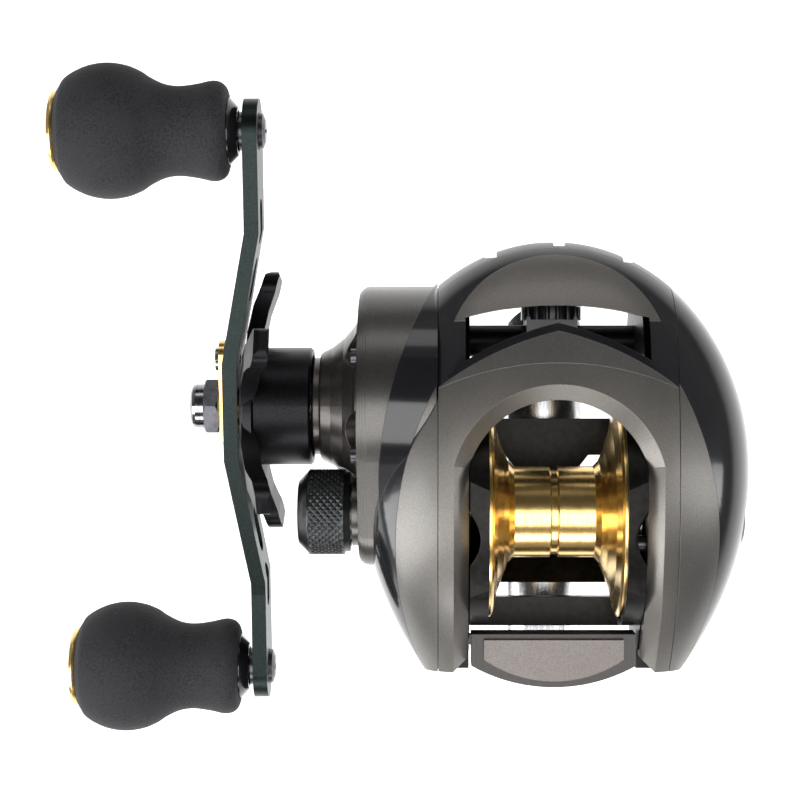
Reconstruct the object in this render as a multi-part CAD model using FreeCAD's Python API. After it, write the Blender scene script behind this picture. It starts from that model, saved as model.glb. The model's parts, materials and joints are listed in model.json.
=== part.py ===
import FreeCAD, Part
import math
import os

# Low-profile baitcasting reel. Millimetres. +Y is forward (towards the rod tip), +Z is up,
# -X is the handle side. The origin is the middle of the foot's flat seat on the rod.

# ---- driving dimensions -------------------------------------------------------------
SPOOL = (-4.5, 26.0)            # spool axis, as (y, z)
DRIVE = (12.7, 22.27)           # handle axis, as (y, z)
GEAR_MODULE = 0.4
MAIN_TEETH = 76
PINION_TEETH = 12
WORM_DRIVE_TEETH = 25
WORM_TEETH = 30
WORM_Y = 23.5                   # level-wind worm lies this far forward

BODY_HALF_WIDTH = 31.7
BODY_MIDDLE_Y = 2.5
BODY_FRONT = 36.9               # nose, forward of the middle
BODY_REAR = 32.8                # flat back, behind the middle
NOSE_Z = 26.0
BODY_TOP = 45.0
BODY_BOTTOM = 2.5
BODY_SQUARENESS = 2.8           # superellipse exponent of the cross-section
REAR_NARROWING = 10.7           # each side, from the middle to the flat back
REAR_TOP_DROP = 14.5
REAR_BOTTOM_RISE = 13.5
SHELL = 1.4                     # side-plate wall
COVER_WALL = 2.0
SEAM_X = 18.75                  # side plates start here
SEAM_GAP = 0.1
LAP = 0.5                       # gear-side plate's lap over the gear cover
FRAME_IN = 13.7                 # inner and outer faces of the frame walls
FRAME_OUT = 16.6
FRAME_INSET = 3.4
RIM_WIDTH = 3.0                 # rim of each frame wall, just outside the spool's edge
RIM_RADIUS = 18.4

SPOOL_RADIUS = 17.0
SPOOL_HALF = 11.15
DRUM_HALF = 7.35
DRUM_RADIUS = 7.4
SHAFT_RADIUS = 1.25             # spool shaft
OPENING_HALF = 13.9             # U-shaped opening over the spool
OPENING_FRONT_Y = 13.7
OPENING_CHAMFER = 2.4

COVER_RADIUS = 19.7             # gear cover round the handle axis
COVER_SMALL_RADIUS = 8.7        # gear cover round the spool axis
COVER_FACE_X = -31.5
COVER_SKIN = 1.4
COVER_RIM_X = -18.9

DRIVE_SHAFT_RADIUS = 2.4
HANDLE_LENGTH = 90.0            # knob centre to knob centre
HANDLE_ANGLE = 11.5             # forward knob raised, degrees
ARM_X = -53.6                   # outer face of the arm at its middle
ARM_END_X = -49.7               # outer face of the arm at its ends
ARM_THICK = 2.4
ARM_WIDTH = 12.0
KNOB_RADIUS = 10.85
STAR_RADIUS = 22.3
STAR_ARMS = 5
STAR_ANGLE = -9.0

TENSION_RADIUS = 6.95           # spool tension knob
FOOT_LENGTH = 61.0
FOOT_HALF_WIDTH = 6.35
FOOT_SEAT_HALF = 2.0
THUMB_FRONT_Y = -24.2
THUMB_BACK_Y = -32.8
THUMB_HALF = 13.35
GUIDE_RADIUS = 4.3              # line guide's snout
GUARD_RADIUS = 2.6
GUIDE_ROD = (24.2, 13.4)
GUIDE_ROD_RADIUS = 1.1

WORM_SHIFT = GEAR_MODULE * (WORM_DRIVE_TEETH + WORM_TEETH) / 2
WORM = (WORM_Y, DRIVE[1] - math.sqrt(WORM_SHIFT ** 2 - (WORM_Y - DRIVE[0]) ** 2))

X_DIR = FreeCAD.Vector(1, 0, 0)
Y_DIR = FreeCAD.Vector(0, 1, 0)
Z_DIR = FreeCAD.Vector(0, 0, 1)
FAR = 120.0                     # larger than the whole reel


# ---- shape helpers ------------------------------------------------------------------
def vec(x, y, z):
    return FreeCAD.Vector(x, y, z)


def outward(shape):
    """A solid whose faces point outwards."""
    if shape.Volume < 0:
        shape.reverse()
    return shape


def box(x0, x1, y0, y1, z0, z1):
    return Part.makeBox(x1 - x0, y1 - y0, z1 - z0, vec(x0, y0, z0))


def rod(axis, radius, x0, x1):
    """Cylinder along X between two stations, round an axis given as (y, z)."""
    return Part.makeCylinder(radius, abs(x1 - x0), vec(min(x0, x1), axis[0], axis[1]), X_DIR)


def ring(axis, outer, inner, x0, x1):
    low = min(x0, x1)
    high = max(x0, x1)
    return rod(axis, outer, low, high).cut(rod(axis, inner, low - 1, high + 1))


def post(x, y, radius, z0, z1):
    return Part.makeCylinder(radius, z1 - z0, vec(x, y, z0), Z_DIR)


def turned(axis, profile):
    """Solid of revolution: profile is a closed list of (x, radius) round an X-parallel axis."""
    points = [vec(x, axis[0], axis[1] + radius) for x, radius in profile]
    face = Part.Face(Part.makePolygon(points + points[:1]))
    return outward(face.revolve(vec(0, axis[0], axis[1]), X_DIR, 360))


def polar(axis, radius, degrees):
    angle = math.radians(degrees)
    return (axis[0] + radius * math.cos(angle), axis[1] + radius * math.sin(angle))


def outline(place, start, *steps):
    """Closed wire. A step is an end point, or a (middle, end) pair for an arc."""
    edges = []
    here = start
    for step in steps:
        if isinstance(step[0], tuple):
            middle, end = step
            edges.append(Part.Arc(place(*here), place(*middle), place(*end)).toShape())
        else:
            end = step
            edges.append(Part.makeLine(place(*here), place(*end)))
        here = end
    if place(*here).distanceToPoint(place(*start)) > 1e-6:
        edges.append(Part.makeLine(place(*here), place(*start)))
    return Part.Wire(edges)


def in_plan(z):
    return lambda x, y: vec(x, y, z)


def in_side(x):
    return lambda y, z: vec(x, y, z)


def plan_prism(z0, z1, start, *steps):
    face = Part.Face(outline(in_plan(z0), start, *steps))
    return outward(face.extrude(vec(0, 0, z1 - z0)))


def side_prism(x0, x1, start, *steps):
    face = Part.Face(outline(in_side(x0), start, *steps))
    return outward(face.extrude(vec(x1 - x0, 0, 0)))


def slot(x0, x1, centre, half_length, radius, degrees):
    """Rounded slot through X, its long direction turned from +Y towards +Z."""
    ends = [polar(centre, half_length, degrees + turn) for turn in (0, 180)]
    solid = rod(ends[0], radius, x0, x1).fuse(rod(ends[1], radius, x0, x1))
    bar = box(x0, x1, -half_length, half_length, -radius, radius)
    bar.rotate(vec(0, 0, 0), X_DIR, degrees)
    bar.translate(vec(0, centre[0], centre[1]))
    return solid.fuse(bar).removeSplitter()


def mirror_x(shape):
    return shape.mirror(vec(0, 0, 0), X_DIR)


def fused(shapes):
    solid = shapes[0].fuse(list(shapes[1:]))
    return solid.removeSplitter()


def gear(axis, teeth, x0, x1, tooth_at, bore):
    """Spur gear with involute-like flanks; one tooth centre lies at tooth_at degrees."""
    pitch = GEAR_MODULE * teeth / 2
    root = pitch - 1.3 * GEAR_MODULE
    tip = pitch + 0.9 * GEAR_MODULE
    base = pitch * math.cos(math.radians(20))
    backlash = 0.05
    half_pitch = (math.pi * GEAR_MODULE / 2 - backlash) / 2 / pitch

    def flank(radius):
        """Half the tooth's angle at a radius."""
        reach = max(radius, base)
        roll = math.acos(base / reach)
        pitch_roll = math.acos(base / pitch)
        spread = (math.tan(roll) - roll) - (math.tan(pitch_roll) - pitch_roll)
        return half_pitch - spread

    levels = [root, max(base, root + 0.05), pitch, (pitch + tip) / 2, tip]
    points = []
    for tooth in range(teeth):
        centre = math.radians(tooth_at) + 2 * math.pi * tooth / teeth
        rising = [(radius, centre - flank(radius)) for radius in levels]
        falling = [(radius, centre + flank(radius)) for radius in reversed(levels)]
        for radius, angle in rising + falling:
            points.append(vec(x0, axis[0] + radius * math.cos(angle),
                              axis[1] + radius * math.sin(angle)))
    face = Part.Face(Part.makePolygon(points + points[:1]))
    solid = outward(face.extrude(vec(x1 - x0, 0, 0)))
    return solid.cut(rod(axis, bore, x0 - 1, x1 + 1))


def direction(start, end):
    return math.degrees(math.atan2(end[1] - start[1], end[0] - start[0]))


# ---- outer form ---------------------------------------------------------------------
def section(y, half_width, top, bottom):
    """Superellipse across the body at one station."""
    middle = (top + bottom) / 2
    half_height = (top - bottom) / 2
    power = 2 / BODY_SQUARENESS
    points = []
    for step in range(24):
        angle = 2 * math.pi * step / 24
        across = math.copysign(abs(math.cos(angle)) ** power, math.cos(angle))
        up = math.copysign(abs(math.sin(angle)) ** power, math.sin(angle))
        points.append(vec(half_width * across, y, middle + half_height * up))
    curve = Part.BSplineCurve()
    curve.interpolate(Points=points, PeriodicFlag=True)
    return Part.Wire([curve.toShape()])


def body(inset):
    """The reel's egg-shaped outer form, shrunk on every side by inset."""
    wires = []
    for share in (1.0, 0.8, 0.6, 0.4, 0.2):
        back = share * BODY_REAR
        half_width = BODY_HALF_WIDTH - inset - REAR_NARROWING * share ** 2
        top = BODY_TOP - inset - REAR_TOP_DROP * share ** 2.6
        bottom = BODY_BOTTOM + inset + REAR_BOTTOM_RISE * share ** 2.2
        wires.append(section(BODY_MIDDLE_Y - back + inset * share, half_width, top, bottom))
    for degrees in (0, 12, 24, 36, 48, 58, 67, 75, 81, 85):
        size = math.cos(math.radians(degrees))
        y = BODY_MIDDLE_Y + (BODY_FRONT - inset) * math.sin(math.radians(degrees))
        top = NOSE_Z + (BODY_TOP - NOSE_Z - inset) * size
        bottom = NOSE_Z - (NOSE_Z - BODY_BOTTOM - inset) * size
        wires.append(section(y, (BODY_HALF_WIDTH - inset) * size, top, bottom))
    return outward(Part.makeLoft(wires, True))


def cover_oval(shrink, x0, x1):
    """Prism of the gear cover: two circles and their common tangents."""
    big = COVER_RADIUS - shrink
    small = COVER_SMALL_RADIUS - shrink
    gap = math.hypot(SPOOL[0] - DRIVE[0], SPOOL[1] - DRIVE[1])
    towards = direction(DRIVE, SPOOL)
    lean = math.degrees(math.acos((big - small) / gap))
    first = polar(DRIVE, big, towards + lean)
    second = polar(SPOOL, small, towards + lean)
    third = polar(SPOOL, small, towards - lean)
    fourth = polar(DRIVE, big, towards - lean)
    far_small = polar(SPOOL, small, towards)
    far_big = polar(DRIVE, big, towards + 180)
    return side_prism(x0, x1, first, second, (far_small, third), fourth, (far_big, first))


OUTER = body(0)
SIDE_CAVITY = body(SHELL)
COVER_CAVITY = body(COVER_WALL)
FRAME_FORM = body(FRAME_INSET)
SIDE_SHELL = OUTER.cut(SIDE_CAVITY)
COVER_SHELL = OUTER.cut(COVER_CAVITY)
GEAR_SIDE = box(-FAR, -SEAM_X, -FAR, FAR, -FAR, FAR)
PALM_SIDE = box(SEAM_X, FAR, -FAR, FAR, -FAR, FAR)
CENTRE = box(-SEAM_X + SEAM_GAP, SEAM_X - SEAM_GAP, -FAR, FAR, -FAR, FAR)
TRIM_BOTTOM_Z = 24.0            # crescent panels and top covers end at this height


# ---- housings -----------------------------------------------------------------------
def arch_opening(half, front_y, z0, z1):
    """U-shaped plan prism, open to the rear."""
    spring_y = front_y - 0.76 * half
    return plan_prism(z0, z1, (-half, -FAR), (-half, spring_y),
                      ((0, front_y), (half, spring_y)), (half, -FAR))


def seam_region():
    """Everything behind the seam between the top cover and the nose panel."""
    return plan_prism(-FAR, FAR, (-SEAM_X, -FAR), (-SEAM_X, 15.4),
                      ((0, 19.4), (SEAM_X, 15.4)), (SEAM_X, -FAR))


def peak_region(forward):
    """Everything behind the nose panel's peaked front edge, moved forward by an amount."""
    return plan_prism(-FAR, FAR, (-SEAM_X, -FAR), (-SEAM_X, 15.5 + forward),
                      ((-10, 20.9 + forward), (0, 24.4 + forward)),
                      ((10, 20.9 + forward), (SEAM_X, 15.5 + forward)), (SEAM_X, -FAR))


def window_region():
    half = 14.4
    front = plan_prism(-FAR, FAR, (-half, 0), (-half, 26.6), ((0, 28.5), (half, 26.6)), (half, 0))
    return front.cut(peak_region(1.3))


def brow_region():
    return plan_prism(-FAR, FAR, (-16.2, 26.0), (16.2, 26.0), ((0, 36.9), (-16.2, 26.0)))


THUMB_SLOT = box(-FRAME_OUT - 1, -FRAME_IN + 1, -26.2, -24.0, 17.2, 28.5)
UPPER = box(-FAR, FAR, -FAR, FAR, TRIM_BOTTOM_Z, FAR)
MOUTH = box(-14.5, 14.5, 20, 60, 15.2, 25.5)


def top_cover():
    """Rear top of the reel, with the chamfered U-shaped opening over the spool."""
    wall = OUTER.cut(body(FRAME_INSET - 0.2))
    cover = wall.common(CENTRE).common(UPPER).common(seam_region())
    cover = cover.cut(arch_opening(OPENING_HALF, OPENING_FRONT_Y, -FAR, FAR))
    skin = OUTER.Shells[0]
    edges = []
    for edge in cover.Edges:
        middle = edge.valueAt((edge.FirstParameter + edge.LastParameter) / 2)
        on_arch = abs(middle.x) < OPENING_HALF + 0.05 and middle.y < OPENING_FRONT_Y + 0.05
        if on_arch and edge.Length > 5 and skin.distToShape(Part.Vertex(middle))[0] < 0.02:
            edges.append(edge)
    return cover.makeChamfer(OPENING_CHAMFER, edges).cut(THUMB_SLOT)


def nose_panel():
    layer = COVER_SHELL.common(CENTRE).common(UPPER)
    return layer.common(peak_region(0)).cut(seam_region())


def hood_blank():
    layer = COVER_SHELL.common(CENTRE).common(UPPER)
    return layer.cut(peak_region(0)).cut(window_region()).cut(MOUTH)


def brow_skin():
    """Layer of the hood that the brow band fills."""
    return brow_region().common(OUTER.cut(body(0.8)))


def brow_band():
    return brow_skin().common(hood_blank())


def lip_region():
    """Outermost front edge of the hood, in plan."""
    return plan_prism(-FAR, FAR, (-19, 60), (-19, 30.3), ((0, 38.0), (19, 30.3)), (19, 60))


def hood():
    """Dark shell round the window."""
    return hood_blank().cut(lip_region()).cut(brow_skin())


def front_lip():
    """Lip round the hood's nose, with three shallow notches."""
    solid = hood_blank().common(lip_region())
    for x in (-10.2, 0.9, 12.0):
        nose_y = BODY_MIDDLE_Y + BODY_FRONT * math.sqrt(1 - (x / BODY_HALF_WIDTH) ** 2)
        solid = solid.cut(box(x - 1.0, x + 1.0, nose_y - 0.9, 60, 20, 60))
    return solid


def crescent():
    """Plan region of the palm side's crescent panel."""
    return plan_prism(TRIM_BOTTOM_Z, FAR, (SEAM_X - 1, 17), (SEAM_X, 16.2),
                      ((25.2, -5.5), (20.6, -31.5)), (SEAM_X - 1, -31.5))


def palm_trim():
    return SIDE_SHELL.common(PALM_SIDE).common(crescent())


DIAL_RADIUS = 5.6


def palm_side_plate():
    plate = SIDE_SHELL.common(PALM_SIDE).cut(crescent())
    plate = plate.cut(rod(SPOOL, DIAL_RADIUS + 0.25, 20, 40))
    return plate


def gear_trim():
    return SIDE_SHELL.common(GEAR_SIDE).common(mirror_x(crescent())).cut(cover_oval(-0.05, -40, 0))


def gear_side_plate():
    """Gear side's shell, lapping over the gear cover between the seam and a sweeping edge."""
    plate = SIDE_SHELL.common(GEAR_SIDE).cut(mirror_x(crescent())).cut(cover_oval(-0.05, -40, 0))
    lap = cover_oval(-0.05 - LAP, -28, -SEAM_X).cut(cover_oval(-0.05, -40, 0))
    sweep = plan_prism(-FAR, FAR, (-SEAM_X, 33.2), ((-25.3, 17.6), (-27.9, -8.4)), (-SEAM_X, -8.4))
    return plate.fuse(lap.common(sweep).cut(mirror_x(crescent())))


def cover_screw_axes():
    return [polar(DRIVE, COVER_RADIUS - 3.2, degrees) for degrees in (62, 118, 242, 298)]


def gear_cover():
    chamfer = 1.5
    solid = cover_oval(0, COVER_FACE_X + chamfer, COVER_RIM_X)
    for step in range(5):
        share = (step + 1) / 5
        shrink = chamfer * (1 - math.cos(math.radians(90 * share)))
        x = COVER_FACE_X + chamfer - chamfer * math.sin(math.radians(90 * share))
        solid = solid.fuse(cover_oval(shrink, x, COVER_FACE_X + chamfer))
    solid = solid.cut(cover_oval(COVER_SKIN, COVER_FACE_X + COVER_SKIN, COVER_RIM_X + 1))
    seat = rod(SPOOL, 5.7, COVER_FACE_X + 0.5, -27.9)
    neck = rod(SPOOL, 5.55, -32.6, COVER_FACE_X + 0.5)
    thread = rod(SPOOL, 4.5, -37.9, -32.5)
    solid = fused([solid, seat, neck, thread])
    solid = solid.cut(rod(SPOOL, 4.5, -30.0, -27.8))
    solid = solid.cut(rod(SPOOL, 3.5, -35.6, -29.9))
    solid = solid.cut(rod(SPOOL, 2.6, -38.5, -35.5))
    solid = solid.cut(rod(DRIVE, 6.5, COVER_FACE_X - 1, COVER_FACE_X + 3))
    for axis in cover_screw_axes():
        solid = solid.cut(rod(axis, 0.65, COVER_FACE_X - 1, COVER_FACE_X + 5))
    return solid


def drive_boss():
    """Bell round the drive shaft: a cone with six scooped flutes and a narrow neck."""
    profile = [(-39.15, 6.6), (-39.15, 7.7), (-38.85, 8.0), (-37.9, 8.0), (-37.9, 8.6),
               (-37.6, 8.9), (-36.0, 9.7), (-34.0, 11.3), (-32.3, 13.3), (-31.9, 14.0),
               (COVER_FACE_X, 14.0), (COVER_FACE_X, 6.5), (-36.7, 6.5), (-36.7, 6.0),
               (-37.0, 6.0), (-37.0, 6.6)]
    bell = turned(DRIVE, profile)
    flutes = 6
    for flute in range(flutes):
        centre = polar(DRIVE, 15.6, 48 + 360 / flutes * flute)
        foot = vec(COVER_FACE_X + 0.3, centre[0], centre[1])
        bell = bell.cut(Part.makeCone(4.3, 2.4, 8.0, foot, -X_DIR))
    return bell.cut(rod(SPOOL, TENSION_RADIUS + 0.4, -45, COVER_FACE_X))


# ---- frame and foot -----------------------------------------------------------------
YOKE_LEAN = direction(SPOOL, DRIVE)
YOKE_PIN_FORWARD = 1.5          # yoke pins, along the line of the axes and across it
YOKE_PIN_ACROSS = 7.7


def yoke_pin_axes():
    """The two pins that guide the clutch yoke, either side of the pinion."""
    radius = math.hypot(YOKE_PIN_FORWARD, YOKE_PIN_ACROSS)
    spread = math.degrees(math.atan2(YOKE_PIN_ACROSS, YOKE_PIN_FORWARD))
    return [polar(SPOOL, radius, YOKE_LEAN + side * spread) for side in (-1, 1)]


def frame_body():
    """Two walls with rims round the spool, joined by cross bars, foot block and front lip."""
    rim_opening = arch_opening(OPENING_HALF - 0.15, OPENING_FRONT_Y - 0.15, -FAR, FAR)
    slabs = []
    for low, high in ((-FRAME_OUT, -FRAME_IN), (FRAME_IN, FRAME_OUT)):
        slabs.append(FRAME_FORM.common(box(low, high, -FAR, FAR, -FAR, FAR)))
        flange = SEAM_X - SEAM_GAP
        inner = min(abs(low), abs(high))
        rim_box = box(min(-flange, -inner) if low < 0 else inner, -inner if low < 0 else flange,
                      -FAR, FAR, -FAR, TRIM_BOTTOM_Z - SEAM_GAP)
        slabs.append(OUTER.cut(body(FRAME_INSET + 0.4)).common(rim_box))
        ring_low = -FRAME_IN if low < 0 else FRAME_IN - RIM_WIDTH
        rim = ring(SPOOL, RIM_RADIUS, SPOOL_RADIUS + 0.3, ring_low, ring_low + RIM_WIDTH)
        slabs.append(rim.common(FRAME_FORM))
        slabs.append(rim.common(body(0.7)).common(rim_opening))
    half = FRAME_IN + 0.5
    corner = plan_prism(4, 8, (5.4, 1.9), (7.2, 4.2), (11.0, 4.2), (11.0, 1.9))
    slabs.append(box(-half, half, 2.0, 10.5, 4.6, 7.4).cut(corner).cut(mirror_x(corner)))
    slabs.append(side_prism(-half, half, (-12.8, 8.4), (-17.2, 11.2), (-17.2, 13.6), (-12.8, 10.6)))
    slabs.append(box(-half, half, -24.2, -19.4, 13.6, 16.2))
    slabs.append(box(-5.8, 5.8, -10.0, 8.0, 1.6, 6.4))
    slabs.append(side_prism(-2.0, 6.4, (-8, 4.8), (-14.6, 7.4), (-14.6, 9.8), (-12.9, 9.6), (-8, 7.2)))
    lip = COVER_SHELL.common(box(-flange, flange, 30.4, 60, 10.2, 15.2))
    slabs.append(lip)
    solid = fused(slabs)
    solid = solid.cut(rod(SPOOL, SPOOL_RADIUS + 0.3, FRAME_IN - 4, FRAME_OUT + 4))
    solid = solid.cut(rod(SPOOL, SPOOL_RADIUS + 0.3, -FRAME_IN, -8))
    solid = solid.cut(rod(SPOOL, 4.0, -20, -10)).cut(THUMB_SLOT)
    solid = solid.fuse(ring(SPOOL, 4.7, 4.0, -17.6, -FRAME_OUT + 1))
    solid = solid.cut(rod(DRIVE, 3.2, -20, -10))
    for x in (-1, 1):
        bush = rod(WORM, 3.0, x * (FRAME_IN - 1), x * (FRAME_OUT + 1))
        solid = solid.cut(bush)
    solid = solid.cut(rod(GUIDE_ROD, GUIDE_ROD_RADIUS, -FRAME_OUT + 0.8, FRAME_OUT - 0.8))
    for pin_axis in yoke_pin_axes():
        solid = solid.cut(rod(pin_axis, 0.9, -20, -FRAME_OUT + 1.8))
    solid = solid.cut(rod(WORM, 7.0, -20, -17.1))
    for y in (-6.0, 5.0):
        solid = solid.cut(post(0, y, 1.5, 0, 5.2))
    return solid.removeSplitter()


def reel_foot():
    """Curved saddle: the flat middle strip of its underside sits on the rod."""
    half = FOOT_LENGTH / 2
    edge = FOOT_HALF_WIDTH
    place = lambda x, z: vec(x, -half, z)
    face = Part.Face(outline(place, (-FOOT_SEAT_HALF, 0), (FOOT_SEAT_HALF, 0),
                             ((4.4, -0.5), (edge, -1.6)), (edge, -0.7),
                             ((0, 1.55), (-edge, -0.7)), (-edge, -1.6),
                             ((-4.4, -0.5), (-FOOT_SEAT_HALF, 0))))
    saddle = outward(face.extrude(vec(0, 2 * half, 0)))
    taper = side_prism(-20, 20, (-half, -3), (-half, 0.7), (-18, 1.7), (18, 1.7), (half, 0.7),
                       (half, -3))
    ends = plan_prism(-5, 5, (-edge - 1, half - 5), ((0, half + 0.001), (edge + 1, half - 5)),
                      (edge + 1, 5 - half), ((0, -half - 0.001), (-edge - 1, 5 - half)))
    foot = saddle.common(taper).common(ends)
    foot = foot.cut(box(-5.85, 5.85, -10.05, 8.05, 1.55, 4))
    for y in (-6.0, 5.0):
        foot = foot.cut(post(0, y, 1.5, -2, 4))
        foot = foot.cut(Part.makeCone(2.6, 1.5, 1.1, vec(0, y, 0), Z_DIR))
    return foot


def foot_rivets():
    rivets = []
    for y in (-6.0, 5.0):
        head = Part.makeCone(2.45, 1.5, 0.95, vec(0, y, 0.15), Z_DIR)
        rivets.append(head.fuse(post(0, y, 1.48, 1.0, 5.1)).removeSplitter())
    return Part.makeCompound(rivets)


def worm_guard():
    tube = ring(WORM, GUARD_RADIUS, 2.05, -FRAME_IN + 0.05, FRAME_IN - 0.05)
    opening = box(-11.5, 11.5, WORM[0] - 1.3, WORM[0] + 1.3, WORM[1] - 5, WORM[1])
    return tube.cut(opening)


def shaft_bushes():
    """Plain bushes of the drive shaft and of both ends of the worm."""
    bushes = [ring(DRIVE, 3.2, 1.53, -FRAME_OUT, -FRAME_IN - 0.2)]
    for side in (-1, 1):
        bushes.append(ring(WORM, 3.0, 1.52, side * FRAME_IN, side * (FRAME_OUT + 0.3)))
    return Part.makeCompound(bushes)


def guide_rod():
    return rod(GUIDE_ROD, GUIDE_ROD_RADIUS, -FRAME_OUT + 0.8, FRAME_OUT - 0.8)


def yoke_pins():
    pins = []
    for axis in yoke_pin_axes():
        pins.append(rod(axis, 0.9, -25.0, -FRAME_OUT + 1.8).fuse(rod(axis, 1.4, -25.6, -25.0)))
    return Part.makeCompound(pins)


# ---- bearings -----------------------------------------------------------------------
def ball_bearing(axis, outer, inner, x0, x1):
    """Two races with a shield groove between them, as one solid."""
    solid = ring(axis, outer, inner, x0, x1)
    middle = (outer + inner) / 2
    depth = 0.25
    for low, high in ((x0 - 1, x0 + depth), (x1 - depth, x1 + 1)):
        solid = solid.cut(ring(axis, middle + 0.28 * (outer - inner),
                               middle - 0.28 * (outer - inner), low, high))
    return solid


SLEEVE_RADIUS = 4.0


def drive_boss_bearing():
    return ball_bearing(DRIVE, 6.6, SLEEVE_RADIUS + 0.03, -39.0, -37.0)


def roller_bearing():
    return ring(DRIVE, 6.5, SLEEVE_RADIUS + 0.03, -36.6, -31.7)


def spool_bearings():
    """Pinion bearing, then the spool shaft's bearings on the gear and palm sides."""
    pinion_bearing = ball_bearing(SPOOL, 4.5, 1.9, -30.0, -28.0)
    gear_side = ball_bearing(SPOOL, 3.5, SHAFT_RADIUS + 0.03, -35.5, -33.5)
    palm_side = ball_bearing(SPOOL, 4.0, SHAFT_RADIUS + 0.03, 19.0, 21.0)
    return Part.makeCompound([pinion_bearing, gear_side, palm_side])


# ---- palm side: brake -----------------------------------------------------------------
def brake_housing():
    """Plate behind the palm-side cover, with the bearing's seat."""
    plate = rod(SPOOL, 17.1, 17.2, 18.4).common(FRAME_FORM)
    solid = plate.fuse(rod(SPOOL, 5.0, 17.2, 22.4)).removeSplitter()
    solid = solid.cut(rod(SPOOL, 4.0, 16, 21.0)).cut(rod(SPOOL, 2.2, 20.9, 21.7))
    for degrees in (90, 210, 330):
        centre = polar(SPOOL, 11.4, degrees)
        solid = solid.cut(rod(centre, 1.2, 16, 20))
    return solid


def magnet_carrier():
    solid = ring(SPOOL, 12.8, 10.0, 14.0, 15.0)
    for degrees in (90, 210, 330):
        centre = polar(SPOOL, 11.4, degrees)
        solid = solid.fuse(rod(centre, 0.9, 14.6, 22.0))
    return solid.removeSplitter()


def brake_magnets():
    magnets = []
    for step in range(8):
        centre = polar(SPOOL, 11.4, 22.5 + 45 * step)
        magnets.append(rod(centre, 1.3, 12.4, 14.0))
    return Part.makeCompound(magnets)


def brake_dial():
    dial = turned(SPOOL, [(25.0, 0), (25.0, 3.0), (28.6, 3.0), (28.6, DIAL_RADIUS),
                          (30.2, DIAL_RADIUS), (30.6, DIAL_RADIUS - 0.5), (30.6, 0)])
    grip = box(30.1, 32, SPOOL[0] - 0.5, SPOOL[0] + 0.5, SPOOL[1] - 4.4, SPOOL[1] + 4.4)
    return dial.cut(grip)


# ---- spool ----------------------------------------------------------------------------
def spool():
    rim = SPOOL_RADIUS
    half = [(DRUM_HALF - 0.9, DRUM_RADIUS), (DRUM_HALF, DRUM_RADIUS + 0.9), (8.2, 10.2)]
    half += [(9.3, 13.4), (9.9, rim - 0.6), (10.3, rim), (SPOOL_HALF, rim)]
    half += [(SPOOL_HALF, rim - 0.9), (10.5, 13.6), (9.4, 9.8), (9.4, 2.6), (10.4, 2.6)]
    half += [(10.4, SHAFT_RADIUS)]
    groove = [(-0.7, DRUM_RADIUS), (-0.5, DRUM_RADIUS - 0.5), (0.5, DRUM_RADIUS - 0.5),
              (0.7, DRUM_RADIUS)]
    left = [(-x, radius) for x, radius in reversed(half)]
    return turned(SPOOL, left + groove + half)


def spool_shaft():
    """Shaft and the cross pin that the pinion's slotted head drives."""
    shaft = rod(SPOOL, SHAFT_RADIUS, -38.0, 21.4)
    tip = turned(SPOOL, [(-38.3, 0), (-38.3, 0.5), (-38.0, 1.0), (-38.0, 0)])
    pin = Part.makeCylinder(0.45, 4.4, vec(-14.9, SPOOL[0] - 2.2, SPOOL[1]), Y_DIR)
    return Part.makeCompound([fused([shaft, tip]).cut(pin), pin])


def brake_rotor():
    return turned(SPOOL, [(9.4, 7.6), (9.4, 9.3), (13.6, 9.3), (13.6, 8.7), (10.0, 8.7),
                          (10.0, 7.6)])


# ---- crank: shaft, gears and drag -----------------------------------------------------
def drive_shaft():
    shaft = rod(DRIVE, DRIVE_SHAFT_RADIUS, -53.9, -17.0)
    journal = rod(DRIVE, 1.5, -17.2, -14.0)
    thread = rod(DRIVE, 2.2, -57.0, -53.8)
    collar = rod(DRIVE, 4.4, -20.15, -18.9)
    solid = fused([shaft, journal, thread, collar])
    flats = box(-60, -51.1, -30, 30, -30, 30)
    keep = box(-60, -51.1, -30, 30, -1.75, 1.75)
    keep.translate(vec(0, 0, DRIVE[1]))
    return solid.cut(on_arm(flats.cut(keep)))


def shaft_tip():
    """Domed chrome end on the handle nut."""
    profile = [(-57.05, 0), (-57.05, 3.65), (-58.4, 3.65), (-58.9, 3.5), (-59.2, 3.1),
               (-59.35, 2.5), (-59.4, 0)]
    return turned(DRIVE, profile)


def main_gear():
    tooth_at = direction(DRIVE, SPOOL)
    solid = gear(DRIVE, MAIN_TEETH, -22.8, -20.2, tooth_at, DRIVE_SHAFT_RADIUS)
    solid = solid.fuse(rod(DRIVE, 14.0, -24.6, -22.7)).removeSplitter()
    solid = solid.cut(rod(DRIVE, 12.6, -26, -21.0)).cut(rod(DRIVE, DRIVE_SHAFT_RADIUS, -30, -10))
    for step in range(6):
        centre = polar(DRIVE, 7.6, 60 * step)
        solid = solid.cut(rod(centre, 1.6, -22, -20))
    return solid


def pinion():
    tooth_at = direction(DRIVE, SPOOL) + 180 + 180 / PINION_TEETH
    teeth = gear(SPOOL, PINION_TEETH, -26.0, -19.3, tooth_at, 1.2)
    head = rod(SPOOL, 3.6, -17.6, -14.1)
    waist = rod(SPOOL, 2.0, -19.4, -17.5)
    journal = rod(SPOOL, 1.85, -30.2, -25.9)
    solid = fused([teeth, head, waist, journal])
    solid = solid.cut(rod(SPOOL, SHAFT_RADIUS + 0.1, -40, -10))
    slot_box = box(-15.6, -13, SPOOL[0] - 4, SPOOL[0] + 4, SPOOL[1] - 0.6, SPOOL[1] + 0.6)
    return solid.cut(slot_box)


def drag_disc(x, thick, outer, inner):
    return ring(DRIVE, outer, inner, x - thick, x)


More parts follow.
